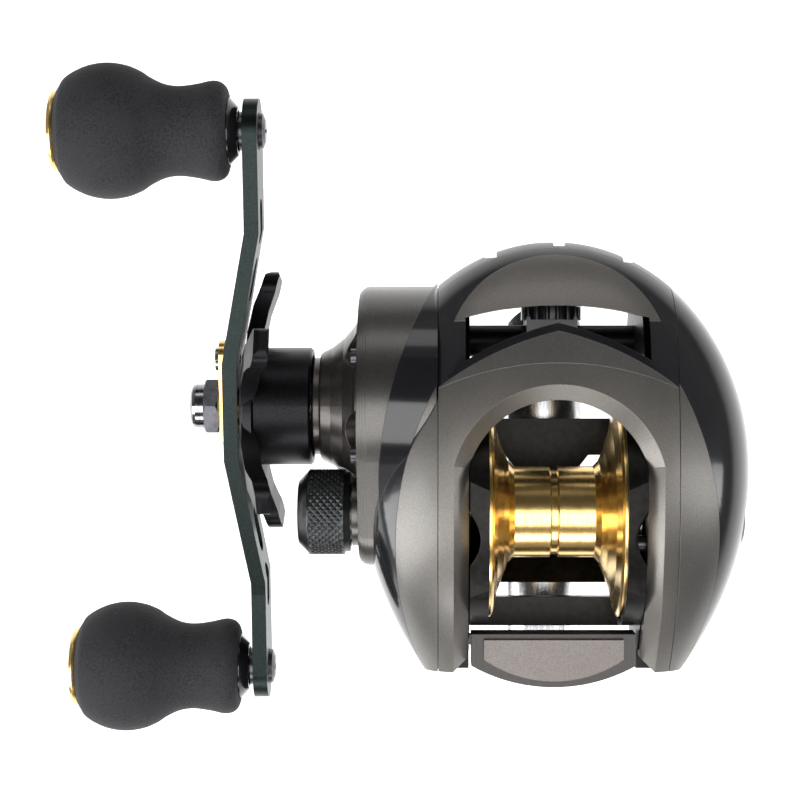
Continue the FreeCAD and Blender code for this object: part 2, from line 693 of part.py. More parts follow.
def drag_washers():
    """Fibre and metal washers in turn inside the main gear's cup, and the pressure plate."""
    fibre = [drag_disc(x, 0.5, 12.2, 3.2) for x in (-21.0, -22.1, -23.2)]
    metal = [drag_disc(x, 0.6, 12.3, 2.45) for x in (-21.5, -22.6)]
    plate = turned(DRIVE, [(-23.75, 2.45), (-23.75, 12.3), (-24.4, 12.3), (-25.0, 6.0),
                           (-25.0, 2.45)])
    return Part.makeCompound(fibre + metal + [plate])


def drag_sleeve():
    return ring(DRIVE, SLEEVE_RADIUS, DRIVE_SHAFT_RADIUS + 0.03, -40.4, -25.0)


def spring_washers():
    """Two coned washers, set with their cones facing each other."""
    washers = []
    for inner_x, outer_x in ((-40.4, -40.75), (-41.55, -41.2)):
        washers.append(turned(DRIVE, [(inner_x, 2.5), (outer_x, 4.6), (outer_x - 0.3, 4.6),
                                      (inner_x - 0.3, 2.5)]))
    return Part.makeCompound(washers)


def worm_drive_gear():
    tooth_at = direction(DRIVE, WORM)
    return gear(DRIVE, WORM_DRIVE_TEETH, -18.9, -17.5, tooth_at, DRIVE_SHAFT_RADIUS)


def worm_gear():
    tooth_at = direction(DRIVE, WORM) + 180 + 180 / WORM_TEETH
    return gear(WORM, WORM_TEETH, -18.9, -17.5, tooth_at, 1.4)


def worm_shaft():
    """Level-wind worm: grooved between its two journals."""
    half = 11.0
    grooves = 10
    pitch = 2 * half / grooves
    profile = [(-18.9, 0), (-18.9, 1.4), (-17.4, 1.4), (-17.4, 1.5), (-half - 1, 1.5),
               (-half - 1, 1.9)]
    for groove in range(grooves):
        start = -half + pitch * groove
        profile += [(start + 0.4, 1.9), (start + 0.7, 1.3), (start + pitch - 0.7, 1.3),
                    (start + pitch - 0.4, 1.9)]
    profile += [(half + 1, 1.9), (half + 1, 1.5), (16.4, 1.5), (16.4, 0)]
    return turned(WORM, profile)


# ---- handle ---------------------------------------------------------------------------
def on_arm(shape):
    """Turn a shape built with the arm along +Y at the handle axis to the arm's rest angle."""
    shape.rotate(vec(0, DRIVE[0], DRIVE[1]), X_DIR, HANDLE_ANGLE)
    return shape


def handle_arm():
    half = HANDLE_LENGTH / 2
    y0 = DRIVE[0]
    z0 = DRIVE[1]
    crank = []
    for offset in (0, ARM_THICK):
        line = [(-half - 6, ARM_END_X), (-29, ARM_END_X), (-8, ARM_X), (8, ARM_X),
                (29, ARM_END_X), (half + 6, ARM_END_X)]
        crank.append([(y, x + offset) for y, x in line])
    points = [vec(x, y0 + y, z0 - 10) for y, x in crank[0] + crank[1][::-1]]
    plate = outward(Part.Face(Part.makePolygon(points + points[:1])).extrude(vec(0, 0, 20)))
    end = 5.2
    wide = ARM_WIDTH / 2
    plan = side_prism(-60, -40, (y0 - half, z0 - end), (y0 - half + 14, z0 - end + 0.3),
                      ((y0, z0 - wide), (y0 + half - 14, z0 - end + 0.3)), (y0 + half, z0 - end),
                      ((y0 + half + end, z0), (y0 + half, z0 + end)),
                      (y0 + half - 14, z0 + end - 0.3),
                      ((y0, z0 + wide), (y0 - half + 14, z0 + end - 0.3)), (y0 - half, z0 + end),
                      ((y0 - half - end, z0), (y0 - half, z0 - end)))
    arm = plate.common(plan)
    for side in (-1, 1):
        for reach, length, radius in ((21.0, 1.6, 2.1), (30.5, 1.9, 1.8)):
            arm = arm.cut(slot(-60, -40, (y0 + side * reach, z0), length, radius, 0))
        arm = arm.cut(rod((y0 + side * half, z0), 1.9, -60, -40))
    keep = box(-60, -40, y0 - 2.45, y0 + 2.45, z0 - 1.8, z0 + 1.8)
    arm = arm.cut(rod(DRIVE, 2.45, -60, -40).common(keep))
    arm = arm.cut(rod((y0 + 8.0, z0), 1.0, -60, -40))
    return on_arm(arm)


def handle_nut():
    """Hexagonal nut with chamfered corners."""
    flats = 8.7
    corner = flats / math.sqrt(3)
    points = [vec(-57.0, *polar(DRIVE, corner, 30 + 60 * step)) for step in range(6)]
    nut = outward(Part.Face(Part.makePolygon(points + points[:1])).extrude(vec(2.45, 0, 0)))
    dome = turned(DRIVE, [(-57.0, 0), (-57.0, 4.3), (-56.4, 5.1), (-55.0, 5.1), (-54.55, 4.5),
                          (-54.55, 0)])
    nut = nut.common(dome).cut(rod(DRIVE, 2.2, -58, -50))
    return nut


def nut_retainer():
    y0 = DRIVE[0]
    z0 = DRIVE[1]
    plate = side_prism(-54.5, ARM_X, (y0 - 5.4, z0 - 3.0), (y0 + 8.4, z0 - 2.6),
                       ((y0 + 11.0, z0), (y0 + 8.4, z0 + 2.6)), (y0 - 5.4, z0 + 3.0),
                       ((y0 - 6.4, z0), (y0 - 5.4, z0 - 3.0)))
    plate = plate.cut(rod(DRIVE, 2.45, -60, -50)).cut(rod((y0 + 8.0, z0), 1.0, -60, -50))
    return on_arm(plate)


def retainer_screw():
    axis = (DRIVE[0] + 8.0, DRIVE[1])
    head = turned(axis, [(-54.5, 0), (-54.5, 2.1), (-55.1, 2.0), (-55.6, 1.3), (-55.8, 0)])
    screw = head.fuse(rod(axis, 0.98, -54.6, -51.6)).removeSplitter()
    for along, across in ((1.1, 0.22), (0.22, 1.1)):
        screw = screw.cut(box(-56, -55.2, axis[0] - along, axis[0] + along,
                              axis[1] - across, axis[1] + across))
    return on_arm(screw)


def arm_spacer():
    return ring(DRIVE, 3.2, 2.45, -51.15, -50.65)


def knob_axis(side):
    return (DRIVE[0] + side * HANDLE_LENGTH / 2, DRIVE[1])


def knob_spindle(side):
    axis = knob_axis(side)
    solid = rod(axis, 1.9, ARM_END_X - 0.2, ARM_END_X + ARM_THICK - 0.4)
    solid = solid.fuse(rod(axis, 1.6, -78.6, ARM_END_X)).fuse(rod(axis, 2.6, -79.2, -78.5))
    solid = solid.fuse(rod(axis, 3.1, ARM_END_X - 0.7, ARM_END_X - 0.1)).removeSplitter()
    return on_arm(solid)


def knob_screw(side):
    axis = knob_axis(side)
    inner = ARM_END_X + ARM_THICK
    head = turned(axis, [(inner - 0.35, 0), (inner - 0.35, 1.85), (inner, 1.85), (inner, 3.0),
                         (inner + 0.6, 2.8), (inner + 1.0, 1.8), (inner + 1.0, 0)])
    return on_arm(head.cut(box(inner + 0.5, inner + 2, axis[0] - 0.3, axis[0] + 0.3,
                               axis[1] - 1.6, axis[1] + 1.6)))


def knob_core(side):
    """Hard core: cone collar at the arm and a sleeve through the grip."""
    axis = knob_axis(side)
    x = ARM_END_X - 0.95
    profile = [(x, 3.6), (x, 3.9), (x - 0.2, 4.1), (-52.0, 5.4), (-52.2, 5.4), (-52.2, 3.4),
               (-78.3, 3.4), (-78.3, 1.7), (x - 0.5, 1.7), (x - 0.5, 3.3), (x, 3.3)]
    return on_arm(turned(axis, profile))


def knob_grip(side):
    """Foam grip: sphere, neck and flared inner end."""
    axis = knob_axis(side)
    centre = -71.4
    flare = [(-52.25, 6.9), (-53.2, 7.75), (-54.8, 8.0), (-57.2, 7.5), (-60.0, 7.17)]
    blend = [(-62.2, 7.45), (-64.3, 8.5)]
    sphere = []
    for degrees in (40, 55, 70, 85, 100, 115, 127):
        angle = math.radians(degrees)
        sphere.append((centre + KNOB_RADIUS * math.cos(angle), KNOB_RADIUS * math.sin(angle)))
    curve = Part.BSplineCurve()
    curve.interpolate(Points=[vec(x, 0, r) for x, r in flare + blend + sphere])
    end_x, end_r = sphere[-1]
    points = [vec(end_x, 0, end_r), vec(-79.2, 0, 6.6), vec(-79.2, 0, 3.45), vec(-52.25, 0, 3.45),
              vec(-52.25, 0, 6.9)]
    wire = Part.Wire([curve.toShape()] + [Part.makeLine(a, b) for a, b in zip(points, points[1:])])
    grip = outward(Part.Face(wire).revolve(vec(0, 0, 0), X_DIR, 360))
    grip.translate(vec(0, axis[0], axis[1]))
    return on_arm(grip)


def knob_cap(side):
    """Domed end cap, sitting in the foam's end."""
    axis = knob_axis(side)
    profile = [(-79.3, 0), (-79.3, 6.3), (-79.8, 6.55), (-80.3, 6.3), (-80.8, 4.6), (-81.1, 2.2),
               (-81.2, 0)]
    return on_arm(turned(axis, profile))


def star_drag():
    """Five-armed wheel on a hollow barrel, with a threaded hub on the drive shaft."""
    profile = [(-50.6, 2.7), (-50.6, 8.6), (-50.0, 9.6), (-48.6, 10.4), (-48.3, 9.65),
               (-39.6, 9.65), (-39.25, 9.3), (-39.25, 8.5), (-45.5, 8.5), (-45.5, 4.4),
               (-42.0, 4.4), (-42.0, 2.45), (-46.0, 2.45), (-46.0, 2.7)]
    body_solid = turned(DRIVE, profile)
    arms = []
    for step in range(STAR_ARMS):
        y0 = DRIVE[0]
        z0 = DRIVE[1]
        blade = [(-50.3, 7.5), (-50.1, 12.0), (-49.2, 16.5), (-47.9, 19.6), (-47.3, 21.8),
                 (-46.4, STAR_RADIUS), (-45.2, STAR_RADIUS), (-44.9, 21.6), (-45.5, 19.0),
                 (-46.6, 15.6), (-47.4, 11.6), (-48.2, 9.4), (-48.2, 7.5)]
        points = [vec(x, y0 + reach, z0 - 6) for x, reach in blade]
        sheet = outward(Part.Face(Part.makePolygon(points + points[:1])).extrude(vec(0, 0, 12)))
        plan = side_prism(-55, -40, (y0 + 6.5, z0 - 5.4),
                          ((y0 + 12.5, z0 - 2.75), (y0 + 18.5, z0 - 2.7)),
                          ((y0 + 21.6, z0 - 2.5), (y0 + STAR_RADIUS + 0.1, z0)),
                          ((y0 + 21.6, z0 + 2.5), (y0 + 18.5, z0 + 2.7)),
                          ((y0 + 12.5, z0 + 2.75), (y0 + 6.5, z0 + 5.4)))
        arm = sheet.common(plan)
        arm.rotate(vec(0, y0, z0), X_DIR, STAR_ANGLE + 360 / STAR_ARMS * step)
        arms.append(arm)
    return fused([body_solid] + arms)


# ---- tension knob ---------------------------------------------------------------------
def tension_knob():
    profile = [(-32.9, 5.7), (-32.9, 6.5), (-33.75, 6.5), (-33.75, 6.8), (-34.0, TENSION_RADIUS),
               (-39.5, TENSION_RADIUS), (-39.9, 6.5), (-41.2, 5.4), (-41.35, 4.9), (-41.35, 0),
               (-39.5, 0), (-39.5, 4.56), (-33.2, 4.56), (-33.2, 5.7)]
    knob = turned(SPOOL, profile)
    count = 40
    for step in range(count):
        centre = polar(SPOOL, TENSION_RADIUS + 0.12, 360 * step / count)
        knob = knob.cut(rod(centre, 0.3, -39.6, -33.8))
    return knob


# ---- clutch ---------------------------------------------------------------------------
def clutch_yoke():
    """Fork in the pinion's waist, open towards the main gear and sliding on two pins."""
    y, z = SPOOL
    low = -18.9
    high = -18.1
    back = -3.2
    front = 1.7
    reach = YOKE_PIN_ACROSS
    plate = side_prism(low, high, (y + back, z - 4.5), (y + 0.2, z - reach), (y + front, z - reach),
                       (y + front, z + reach), (y + 0.2, z + reach), (y + back, z + 4.5))
    plate = plate.cut(box(low - 1, high + 1, y, y + 5, z - 2.15, z + 2.15))
    plate.rotate(vec(0, y, z), X_DIR, YOKE_LEAN)
    guides = [rod(axis, 1.6, low - 0.6, high) for axis in yoke_pin_axes()]
    solid = fused([plate] + guides).cut(rod(SPOOL, 2.2, low - 1, high + 1))
    for axis in yoke_pin_axes():
        solid = solid.cut(rod(axis, 1.0, low - 2, high + 1))
    return solid


def clutch_cam():
    """Plate turning on the frame's boss; its arm lies under the thumb bar's tab."""
    y, z = SPOOL
    plate = rod(SPOOL, 6.6, -17.5, -16.75)
    arm = side_prism(-17.5, -16.75, (y, z - 5.0), (y - 20.2, z - 1.6), (y - 20.2, z - 0.4),
                     (y - 12.0, z + 1.5), (y, z + 6.0))
    solid = plate.fuse(arm).removeSplitter()
    return solid.cut(rod(SPOOL, 4.8, -20, -15))


# ---- thumb bar ------------------------------------------------------------------------
THUMB_BASE_Z = 22.4
THUMB_TOP_Z = 28.4


def thumb_outline(z0, z1, shrink):
    half = THUMB_HALF - shrink
    return plan_prism(z0, z1, (-half, THUMB_FRONT_Y - shrink), (half, THUMB_FRONT_Y - shrink),
                      (half, -29.3), ((0, THUMB_BACK_Y + shrink), (-half, -29.3)))


def thumb_bar():
    solid = thumb_outline(THUMB_BASE_Z, THUMB_TOP_Z, 0)
    tab = box(-17.4, -THUMB_HALF + 0.5, -25.9, -24.3, THUMB_TOP_Z - 2.6, THUMB_TOP_Z - 0.2)
    recess = box(-11, 11, -31.0, -25.5, THUMB_BASE_Z - 1, THUMB_BASE_Z + 3.4)
    return solid.cut(recess).fuse(tab).removeSplitter()


def thumb_pad():
    return plan_prism(THUMB_TOP_Z, THUMB_TOP_Z + 1.1, (-11.3, -25.0), (11.3, -25.0),
                      (11.3, -28.2), ((0, -31.7), (-11.3, -28.2)))


# ---- level wind -----------------------------------------------------------------------
def line_guide():
    """Carriage on the guard tube and the guide rod, with the snout the line runs through."""
    y, z = WORM
    block = box(-4.2, 4.2, y - 3.6, y + 3.9, GUIDE_ROD[1] - 2.0, z + 3.5)
    collar = Part.makeCylinder(5.0, 2.2, vec(0, y + 3.4, z), Y_DIR)
    for step in range(18):
        angle = 2 * math.pi * step / 18
        centre = vec(5.05 * math.cos(angle), y + 3, z + 5.05 * math.sin(angle))
        collar = collar.cut(Part.makeCylinder(0.42, 4, centre, Y_DIR))
    snout = Part.makeCylinder(GUIDE_RADIUS, 4.6, vec(0, y + 5.5, z), Y_DIR)
    solid = fused([block, collar, snout])
    solid = solid.cut(rod(WORM, GUARD_RADIUS + 0.08, -6, 6))
    solid = solid.cut(rod(GUIDE_ROD, GUIDE_ROD_RADIUS + 0.08, -6, 6))
    solid = solid.cut(post(0, y, 1.35, GUIDE_ROD[1] - 3, z))
    return solid


def line_ring():
    """Hard insert in the snout's mouth."""
    y = WORM[0] + 10.1
    cup = Part.makeCylinder(3.6, 0.8, vec(0, y, WORM[1]), Y_DIR)
    return cup.cut(Part.makeCylinder(2.3, 2, vec(0, y - 1, WORM[1]), Y_DIR))


def pawl():
    y, z = WORM
    stem = post(0, y, 1.3, GUIDE_ROD[1] + GUIDE_ROD_RADIUS + 0.4, z - GUARD_RADIUS + 0.2)
    tip = box(-1.1, 1.1, y - 0.4, y + 0.4, z - GUARD_RADIUS, z - 1.98)
    return stem.fuse(tip).removeSplitter()


# ---- fasteners ------------------------------------------------------------------------
def small_screw(x, y, z, radius, facing):
    """Pan-head screw along X with a crossed recess; facing is -1 or +1."""
    head = Part.makeCylinder(radius, 0.9, vec(x, y, z), vec(facing, 0, 0))
    shank = Part.makeCylinder(radius * 0.5, 4.0, vec(x + 0.05 * facing, y, z), vec(-facing, 0, 0))
    tool = 0.18 * radius
    screw = head.fuse(shank).removeSplitter()
    low = x + facing * 0.45
    high = x + facing * 2
    for a, b in ((tool, 0.7 * radius), (0.7 * radius, tool)):
        screw = screw.cut(box(min(low, high), max(low, high), y - a, y + a, z - b, z + b))
    return screw


def side_plate_screws():
    """Screws that hold the gear cover."""
    screws = []
    for y, z in cover_screw_axes():
        screws.append(small_screw(COVER_FACE_X, y, z, 1.3, -1))
    return Part.makeCompound(screws)


# ---- every sub-part -------------------------------------------------------------------
def export(name, shape):
    shape.exportStep("parts/" + name + ".step")


def build():
    os.makedirs("parts", exist_ok=True)
    makers = [top_cover, nose_panel, hood, front_lip, brow_band, palm_trim, palm_side_plate,
              gear_trim, gear_side_plate, gear_cover, drive_boss, frame_body, reel_foot,
              foot_rivets, worm_guard, shaft_bushes, guide_rod, yoke_pins, drive_boss_bearing,
              roller_bearing, spool_bearings, brake_housing, magnet_carrier, brake_magnets,
              brake_dial, spool, spool_shaft, brake_rotor, drive_shaft, shaft_tip, main_gear,
              pinion, drag_washers, drag_sleeve, spring_washers, worm_drive_gear, worm_gear,
              worm_shaft, handle_arm, handle_nut, nut_retainer, retainer_screw, arm_spacer,
              star_drag, tension_knob, clutch_yoke, clutch_cam, thumb_bar, thumb_pad,
              line_guide, line_ring, pawl, side_plate_screws]
    for maker in makers:
        export(maker.__name__, maker())
    for side, name in ((1, "front"), (-1, "rear")):
        export("knob_core_" + name, knob_core(side))
        export("knob_grip_" + name, knob_grip(side))
        export("knob_cap_" + name, knob_cap(side))
    pins = [maker(side) for maker in (knob_spindle, knob_screw) for side in (1, -1)]
    export("knob_spindles", Part.makeCompound(pins))


build()
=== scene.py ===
import json
import math

import bmesh
import bpy
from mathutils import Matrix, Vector
from mathutils.geometry import convex_hull_2d


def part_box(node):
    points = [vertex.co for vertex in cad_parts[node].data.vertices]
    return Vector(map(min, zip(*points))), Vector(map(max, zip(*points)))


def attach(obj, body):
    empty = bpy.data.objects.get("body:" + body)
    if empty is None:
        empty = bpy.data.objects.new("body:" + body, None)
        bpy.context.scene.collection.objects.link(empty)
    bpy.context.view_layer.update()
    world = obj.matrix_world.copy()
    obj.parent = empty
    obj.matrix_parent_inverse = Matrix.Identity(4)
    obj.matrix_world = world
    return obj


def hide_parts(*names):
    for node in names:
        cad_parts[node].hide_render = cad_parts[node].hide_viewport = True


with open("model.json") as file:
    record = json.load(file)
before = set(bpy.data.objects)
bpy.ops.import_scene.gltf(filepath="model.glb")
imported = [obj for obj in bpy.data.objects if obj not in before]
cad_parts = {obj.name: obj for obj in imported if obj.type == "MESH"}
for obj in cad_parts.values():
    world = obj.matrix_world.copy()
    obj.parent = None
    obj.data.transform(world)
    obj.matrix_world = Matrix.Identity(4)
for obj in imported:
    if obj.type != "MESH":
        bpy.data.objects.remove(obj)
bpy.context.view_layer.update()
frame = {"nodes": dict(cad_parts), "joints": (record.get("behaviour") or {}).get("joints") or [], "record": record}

MM = 0.001
nodes = frame["nodes"]
joints = {joint["name"]: joint for joint in frame["joints"]}


# ---- places worked out from the frame -------------------------------------------------
def corners(node):
    low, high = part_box(node)
    return Vector(low), Vector(high)


def joint_point(name):
    return Vector(joints[name]["pos_m"])


FLOOR = -120 * MM
GLOW_REACH = 1.0
SPOOL = joint_point("spool_spin")
DRIVE = joint_point("crank_turn")


# ---- material building ---------------------------------------------------------------
BROKEN_EDGE = 0.15 * MM
ANODISED_EDGE = 0.1 * MM
POLISHED_EDGE = 0.08 * MM


class Paint:
    """A material's node tree with short helpers for the nodes used here."""

    def __init__(self, name):
        self.material = bpy.data.materials.new(name)
        self.material.use_nodes = True
        self.tree = self.material.node_tree
        self.shader = self.tree.nodes["Principled BSDF"]
        self.place = self.add("ShaderNodeTexCoord").outputs["Object"]

    def add(self, kind, **values):
        node = self.tree.nodes.new(kind)
        for key, value in values.items():
            setattr(node, key, value)
        return node

    def link(self, source, target):
        self.tree.links.new(source, target)

    def noise(self, scale, detail=4.0, stretch=None):
        """Noise in object space; stretch scales each axis first."""
        node = self.add("ShaderNodeTexNoise")
        node.inputs["Scale"].default_value = scale
        node.inputs["Detail"].default_value = detail
        place = self.place
        if stretch:
            mapping = self.add("ShaderNodeMapping")
            mapping.inputs["Scale"].default_value = stretch
            self.link(place, mapping.inputs["Vector"])
            place = mapping.outputs["Vector"]
        self.link(place, node.inputs["Vector"])
        return node.outputs["Fac"]

    def ramp(self, source, stops):
        node = self.add("ShaderNodeValToRGB")
        ramp = node.color_ramp
        while len(ramp.elements) < len(stops):
            ramp.elements.new(0.5)
        for element, (position, colour) in zip(ramp.elements, stops):
            element.position = position
            element.color = (*colour, 1.0)
        self.link(source, node.inputs["Fac"])
        return node.outputs["Color"]

    def spread(self, source, low, high):
        node = self.add("ShaderNodeMapRange")
        node.inputs["To Min"].default_value = low
        node.inputs["To Max"].default_value = high
        self.link(source, node.inputs["Value"])
        return node.outputs["Result"]

    def rounded(self, radius):
        """Edges shaded as if rounded by this radius."""
        node = self.add("ShaderNodeBevel", samples=4)
        node.inputs["Radius"].default_value = radius
        return node.outputs["Normal"]

    def bump(self, source, depth, strength, normal=None):
        node = self.add("ShaderNodeBump")
        node.inputs["Strength"].default_value = strength
        node.inputs["Distance"].default_value = depth
        self.link(source, node.inputs["Height"])
        if normal:
            self.link(normal, node.inputs["Normal"])
        self.link(node.outputs["Normal"], self.shader.inputs["Normal"])

    def set(self, **values):
        for key, value in values.items():
            self.shader.inputs[key.replace("_", " ")].default_value = value


def metallic_paint(name, dark, light, roughness):
    """Satin metallic paint: fine flakes, slow cloudiness and a thin clear coat."""
    paint = Paint(name)
    flakes = paint.noise(7000.0, 2.0)
    paint.link(paint.ramp(flakes, [(0.36, dark), (0.64, light)]), paint.shader.inputs["Base Color"])
    paint.link(paint.spread(paint.noise(90.0), roughness - 0.05, roughness + 0.06),
               paint.shader.inputs["Roughness"])
    paint.set(Metallic=0.85, Coat_Weight=0.2, Coat_Roughness=0.18)
    paint.bump(flakes, 0.003 * MM, 0.3, paint.rounded(BROKEN_EDGE))
    return paint.material


def gloss_black(name, tint, roughness):
    """Moulded gloss plastic with faint orange peel and haze."""
    paint = Paint(name)
    haze = paint.noise(60.0)
    deep = tuple(0.75 * part for part in tint)
    paint.link(paint.ramp(haze, [(0.3, deep), (0.7, tint)]), paint.shader.inputs["Base Color"])
    paint.link(paint.spread(haze, roughness - 0.03, roughness + 0.05), paint.shader.inputs["Roughness"])
    paint.set(Coat_Weight=0.25, Coat_Roughness=0.06)
    paint.bump(paint.noise(500.0, 2.0), 0.004 * MM, 0.4, paint.rounded(BROKEN_EDGE))
    return paint.material


def anodised(name, dark, light, roughness, grain=(1, 1, 1), scale=900.0, metallic=0.9):
    """Anodised aluminium with machining grain."""
    paint = Paint(name)
    lines = paint.noise(scale, 3.0, grain)
    paint.link(paint.ramp(lines, [(0.3, dark), (0.7, light)]), paint.shader.inputs["Base Color"])
    paint.link(paint.spread(lines, roughness - 0.05, roughness + 0.07), paint.shader.inputs["Roughness"])
    paint.set(Metallic=metallic)
    paint.bump(lines, 0.006 * MM, 0.4, paint.rounded(ANODISED_EDGE))
    return paint.material


def polished(name, dark, light, roughness, bite=0.3):
    """Plated or turned metal: fine turning lines across X."""
    paint = Paint(name)
    lines = paint.noise(700.0, 3.0, (6, 0.6, 0.6))
    paint.link(paint.ramp(lines, [(0.35, dark), (0.65, light)]), paint.shader.inputs["Base Color"])
    paint.link(paint.spread(lines, roughness, roughness + 0.08), paint.shader.inputs["Roughness"])
    paint.set(Metallic=1.0)
    paint.bump(lines, 0.003 * MM, bite, paint.rounded(POLISHED_EDGE))
    return paint.material


def foam(name):
    """Closed-cell foam: dark, dry, with fine cells and a dusty sheen."""
    paint = Paint(name)
    cells = paint.add("ShaderNodeTexVoronoi")
    cells.inputs["Scale"].default_value = 2600.0
    paint.link(paint.place, cells.inputs["Vector"])
    cloud = paint.noise(220.0, 5.0)
    mixed = paint.add("ShaderNodeMath", operation="MULTIPLY_ADD")
    paint.link(cloud, mixed.inputs[0])
    mixed.inputs[1].default_value = 0.8
    paint.link(cells.outputs["Distance"], mixed.inputs[2])
    shades = [(0.35, (0.008, 0.008, 0.009)), (0.95, (0.026, 0.026, 0.029))]
    colour = paint.ramp(mixed.outputs["Value"], shades)
    paint.link(colour, paint.shader.inputs["Base Color"])
    paint.link(paint.spread(cloud, 0.72, 0.9), paint.shader.inputs["Roughness"])
    paint.set(Sheen_Weight=0.04, Sheen_Roughness=0.5, Specular_IOR_Level=0.22)
    paint.bump(mixed.outputs["Value"], 0.06 * MM, 0.8)
    return paint.material


def fibre(name):
    """Woven carbon fibre."""
    paint = Paint(name)
    weave = paint.add("ShaderNodeTexChecker")
    weave.inputs["Scale"].default_value = 1500.0
    paint.link(paint.place, weave.inputs["Vector"])
    paint.link(paint.ramp(weave.outputs["Fac"], [(0.0, (0.02, 0.02, 0.02)), (1.0, (0.06, 0.06, 0.06))]),
               paint.shader.inputs["Base Color"])
    paint.link(paint.spread(paint.noise(400.0), 0.4, 0.6), paint.shader.inputs["Roughness"])
    paint.bump(weave.outputs["Fac"], 0.02 * MM, 0.5)
    return paint.material


LOOKS = {
    "graphite_plastic": gloss_black("gloss_black_plastic", (0.010, 0.010, 0.012), 0.13),
    "cover_taupe": metallic_paint("taupe_metallic", (0.135, 0.126, 0.115), (0.185, 0.174, 0.16), 0.4),
    "cover_grey": metallic_paint("grey_metallic", (0.125, 0.12, 0.112), (0.175, 0.168, 0.158), 0.4),
    "gunmetal": metallic_paint("gunmetal_metallic", (0.05, 0.045, 0.042), (0.085, 0.077, 0.072), 0.3),
    "frame_black": anodised("black_anodised_frame", (0.01, 0.0095, 0.009), (0.018, 0.017, 0.016), 0.34),
    "gold": polished("gold_anodised", (0.85, 0.56, 0.19), (0.94, 0.67, 0.28), 0.17, bite=0.1),
    "arm_green": anodised("dark_arm_anodised", (0.012, 0.017, 0.016), (0.024, 0.031, 0.03), 0.34,
                          (1, 0.5, 1), 6000.0, metallic=0.97),
    "star_black": anodised("satin_black_star", (0.007, 0.007, 0.008), (0.015, 0.015, 0.017), 0.34,
                           (1, 1, 1), 4000.0),
    "foam": foam("grip_foam"),
    "core_black": gloss_black("black_core_plastic", (0.009, 0.009, 0.01), 0.16),
    "chrome": polished("chrome_plate", (0.7, 0.7, 0.72), (0.86, 0.86, 0.88), 0.05),
    "dark_steel": anodised("darkened_steel", (0.05, 0.05, 0.055), (0.1, 0.1, 0.11), 0.28),
    "steel": polished("machined_steel", (0.42, 0.42, 0.43), (0.62, 0.62, 0.63), 0.2),
    "brass": polished("machined_brass", (0.5, 0.34, 0.1), (0.72, 0.52, 0.2), 0.18),
    "fibre": fibre("drag_fibre"),
    "nylon": gloss_black("moulded_nylon", (0.03, 0.03, 0.031), 0.45),
    "ceramic": gloss_black("guide_insert", (0.06, 0.06, 0.062), 0.1),
}
CLOSER = {
    "thumb_bar": metallic_paint("thumb_bar_metallic", (0.026, 0.024, 0.023), (0.042, 0.039, 0.037), 0.3),
    "thumb_pad": metallic_paint("thumb_pad_metallic", (0.1, 0.088, 0.082), (0.14, 0.124, 0.116), 0.36),
    "knob_spindles": LOOKS["dark_steel"],
    "shaft_tip": polished("shaft_tip_plate", (0.22, 0.22, 0.23), (0.34, 0.34, 0.35), 0.1),
    "tension_knob": anodised("knurled_anodised", (0.035, 0.037, 0.038), (0.06, 0.063, 0.065), 0.3),
    "brake_magnets": LOOKS["dark_steel"],
    "gear_cover": metallic_paint("gear_cover_metallic", (0.075, 0.071, 0.066), (0.11, 0.105, 0.098), 0.3),
}


def dress(obj, material):
    """Give an object its material through its own slots."""
    if not obj.material_slots:
        obj.data.materials.append(material)
    for slot in obj.material_slots:
        slot.link = "OBJECT"
        slot.material = material


def dress_nodes():
    """The record's slots, with closer looks for a few nodes."""
    slots = {part["node"]: part["material_slot"] for part in frame["record"]["subparts"]}
    for name, obj in nodes.items():
        dress(obj, CLOSER.get(name, LOOKS[slots[name]]))


# ---- pieces built here ------------------------------------------------------------------
def new_object(name, mesh_data):
    mesh = bpy.data.meshes.new(name)
    mesh_data.normal_update()
    mesh_data.to_mesh(mesh)
    mesh_data.free()
    mesh.shade_smooth()
    obj = bpy.data.objects.new(name, mesh)
    bpy.context.scene.collection.objects.link(obj)
    return obj


def lathe(name, profile, axis_point, steps):
    """Solid of revolution round an X-parallel axis. profile: closed list of (x, radius)."""
    data = bmesh.new()
    rings = []
    for step in range(steps):
        angle = 2 * math.pi * step / steps
        ring = []
        for x, radius in profile:
            ring.append(data.verts.new((x, axis_point.y + radius * math.cos(angle),
                                        axis_point.z + radius * math.sin(angle))))
        rings.append(ring)
    count = len(profile)
    for step in range(steps):
        here = rings[step]
        there = rings[(step + 1) % steps]
        for index in range(count):
            after = (index + 1) % count
            data.faces.new((here[index], here[after], there[after], there[index]))
    bmesh.ops.recalc_face_normals(data, faces=data.faces)
    return new_object(name, data)


def smooth_path(points, per_span):
    """Catmull-Rom curve through (x, radius) points, with per_span steps between each two."""
    padded = [points[0]] + list(points) + [points[-1]]
    curve = []
    for index in range(1, len(padded) - 2):
        before, start, end, after = padded[index - 1:index + 3]
        for step in range(per_span):
            t = step / per_span
            pair = []
            for axis in (0, 1):
                a, b, c, d = before[axis], start[axis], end[axis], after[axis]
                pair.append(0.5 * (2 * b + (c - a) * t + (2 * a - 5 * b + 4 * c - d) * t * t
                                   + (3 * b - a - 3 * c + d) * t ** 3))
            curve.append(tuple(pair))
    curve.append(points[-1])
    return curve


